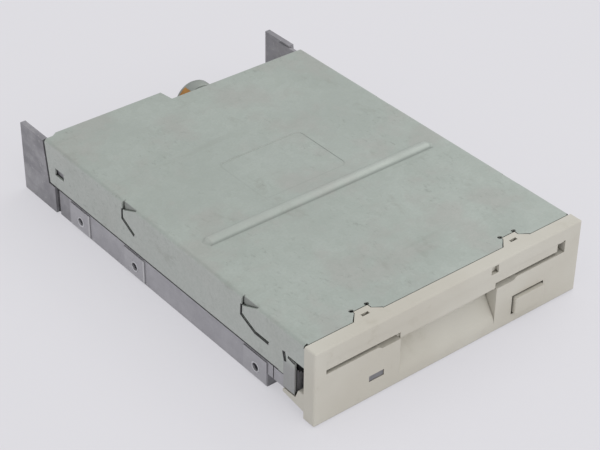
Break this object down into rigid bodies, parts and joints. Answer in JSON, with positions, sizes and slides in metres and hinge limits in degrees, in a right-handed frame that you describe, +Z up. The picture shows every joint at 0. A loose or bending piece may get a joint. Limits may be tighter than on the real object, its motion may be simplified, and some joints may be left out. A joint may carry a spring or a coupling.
{
  "type": "floppy disk drive",
  "caption": "Internal floppy disk drive: die-cast chassis, folded steel cover, moulded front with slot, door, lamp and eject button, with its loading and head mechanism.",
  "frame": {"origin": "centre of the bounding box on the underside", "axes": "+X to the right seen from the front, +Y from the bezel to the rear, +Z up; the bezel faces -Y"},
  "size_m": [0.1016, 0.1508, 0.0264],
  "materials": {
    "die_cast": "die-cast, fine grain",
    "cover_sheet": "zinc-plated sheet steel, satin",
    "bezel_plastic": "fine spark-eroded texture",
    "lens_plastic": "smoked translucent",
    "lamp_plastic": "clear green epoxy",
    "bronze": "sintered bronze",
    "board_green": "solder mask on glass fibre laminate",
    "board_dark": "solder mask on steel-backed laminate",
    "core_steel": "laminated electrical steel",
    "copper_wire": "enamelled copper winding",
    "screw_steel": "zinc plated",
    "chip_black": "moulded epoxy",
    "header_black": "glass-filled nylon",
    "header_white": "nylon",
    "gold_pin": "gold plated",
    "sheet_steel": "zinc-plated sheet steel",
    "amber_film": "polyimide film",
    "polished_steel": "ground steel",
    "spring_steel": "spring steel",
    "carriage_plastic": "glass-filled plastic",
    "head_ceramic": "polished ceramic",
    "white_plastic": "acetal",
    "arm_plastic": "glass-filled plastic",
    "magnet": "bonded ferrite"
  },
  "bodies": {
    "frame": {"chassis": "die_cast", "top_cover": "cover_sheet", "front_bezel": "bezel_plastic", "led_lens": "lens_plastic", "indicator_led": "lamp_plastic", "spindle_bearing": "bronze", "motor_board": "board_dark", "stator_core": "core_steel", "stator_coils": "copper_wire", "motor_screws": "screw_steel", "main_board": "board_green", "board_chips": "chip_black", "board_screws": "screw_steel", "signal_header": "header_black", "signal_pins": "gold_pin", "power_header": "header_white", "power_pins": "gold_pin", "stepper_motor": "sheet_steel", "stepper_bracket": "sheet_steel", "stepper_screws": "screw_steel", "stepper_flex": "amber_film", "guide_rods": "polished_steel", "rod_clamps": "sheet_steel", "clamp_screws": "screw_steel", "track_zero_sensor": "chip_black", "switch_bodies": "chip_black", "lever_post": "polished_steel", "eject_spring_left": "spring_steel", "eject_spring_right": "spring_steel", "door_spring": "spring_steel", "lever_spring": "spring_steel"},
    "eject": {"eject_slider": "sheet_steel", "eject_button": "bezel_plastic"},
    "holder": {"disk_holder": "sheet_steel", "holder_pins": "polished_steel", "pressure_springs": "spring_steel"},
    "door": {"slot_door": "bezel_plastic"},
    "latch": {"latch_lever": "sheet_steel"},
    "spindle": {"spindle_rotor": "sheet_steel", "rotor_magnet": "magnet", "spindle_shaft": "polished_steel", "drive_hub": "polished_steel"},
    "drive_pin_body": {"drive_pin": "polished_steel"},
    "carriage": {"head_carriage": "carriage_plastic", "lower_head": "head_ceramic", "screw_follower": "white_plastic", "head_flex": "amber_film", "arm_spring": "spring_steel"},
    "head_arm": {"upper_arm": "arm_plastic", "upper_head": "head_ceramic"},
    "screw": {"lead_screw": "polished_steel"},
    "write_protect_key": {"write_protect_plunger": "white_plastic"},
    "density_key": {"density_plunger": "white_plastic"},
    "disk_in_key": {"disk_in_plunger": "white_plastic"}
  },
  "joints": [
    {"name": "eject_slide", "type": "slide", "parent": "frame", "child": "eject", "axis": [0, 1, 0], "range_m": [-0.0055, 0.0008], "deforming": ["eject_spring_left", "eject_spring_right", "lever_spring", "arm_spring"]},
    {"name": "holder_lift", "type": "slide", "parent": "frame", "child": "holder", "axis": [0, 0, 1], "range_m": [-0.0023, 0.00034]},
    {"name": "latch_turn", "type": "hinge", "parent": "frame", "child": "latch", "pos_m": [-0.0352, 0.03185, 0.0138], "axis": [0, 0, 1], "range_deg": [-5.2, 35.1]},
    {"name": "door_hinge", "type": "hinge", "parent": "frame", "child": "door", "pos_m": [0, -0.07325, 0.0205], "axis": [1, 0, 0], "range_deg": [0, 88], "stiffness_Nm_per_rad": 0.002, "springref_deg": -28.65, "deforming": ["door_spring"]},
    {"name": "spindle_spin", "type": "hinge", "parent": "frame", "child": "spindle", "pos_m": [-0.0012, -0.02115, 0.01], "axis": [0, 0, 1], "continuous": true},
    {"name": "drive_pin_press", "type": "slide", "parent": "spindle", "child": "drive_pin_body", "axis": [0, 0, 1], "range_m": [-0.001, 0], "stiffness_N_per_m": 200, "springref_m": 0.001},
    {"name": "carriage_slide", "type": "slide", "parent": "frame", "child": "carriage", "axis": [0, -1, 0], "range_m": [0, 0.015], "deforming": ["head_flex"]},
    {"name": "screw_turn", "type": "hinge", "parent": "frame", "child": "screw", "pos_m": [0.0113, 0.03585, 0.0145], "axis": [0, 1, 0], "range_deg": [0, 1440.1]},
    {"name": "arm_tilt", "type": "hinge", "parent": "carriage", "child": "head_arm", "pos_m": [-0.0012, 0.04635, 0.019], "axis": [1, 0, 0], "range_deg": [-1.4, 8.55]},
    {"name": "write_protect_press", "type": "slide", "parent": "frame", "child": "write_protect_key", "axis": [0, 0, 1], "range_m": [-0.0008, 0], "stiffness_N_per_m": 150, "springref_m": 0.001},
    {"name": "density_press", "type": "slide", "parent": "frame", "child": "density_key", "axis": [0, 0, 1], "range_m": [-0.0008, 0], "stiffness_N_per_m": 150, "springref_m": 0.001},
    {"name": "disk_in_press", "type": "slide", "parent": "frame", "child": "disk_in_key", "axis": [0, 0, 1], "range_m": [-0.0008, 0], "stiffness_N_per_m": 150, "springref_m": 0.001}
  ],
  "couplings": [
    {"joint": "holder_lift", "follows": "eject_slide", "ratio": 0.41818},
    {"joint": "latch_turn", "follows": "eject_slide", "rad_per_m": -111.07},
    {"joint": "arm_tilt", "follows": "eject_slide", "rad_per_m": -26.973},
    {"joint": "screw_turn", "follows": "carriage_slide", "rad_per_m": 1675.5}
  ]
}
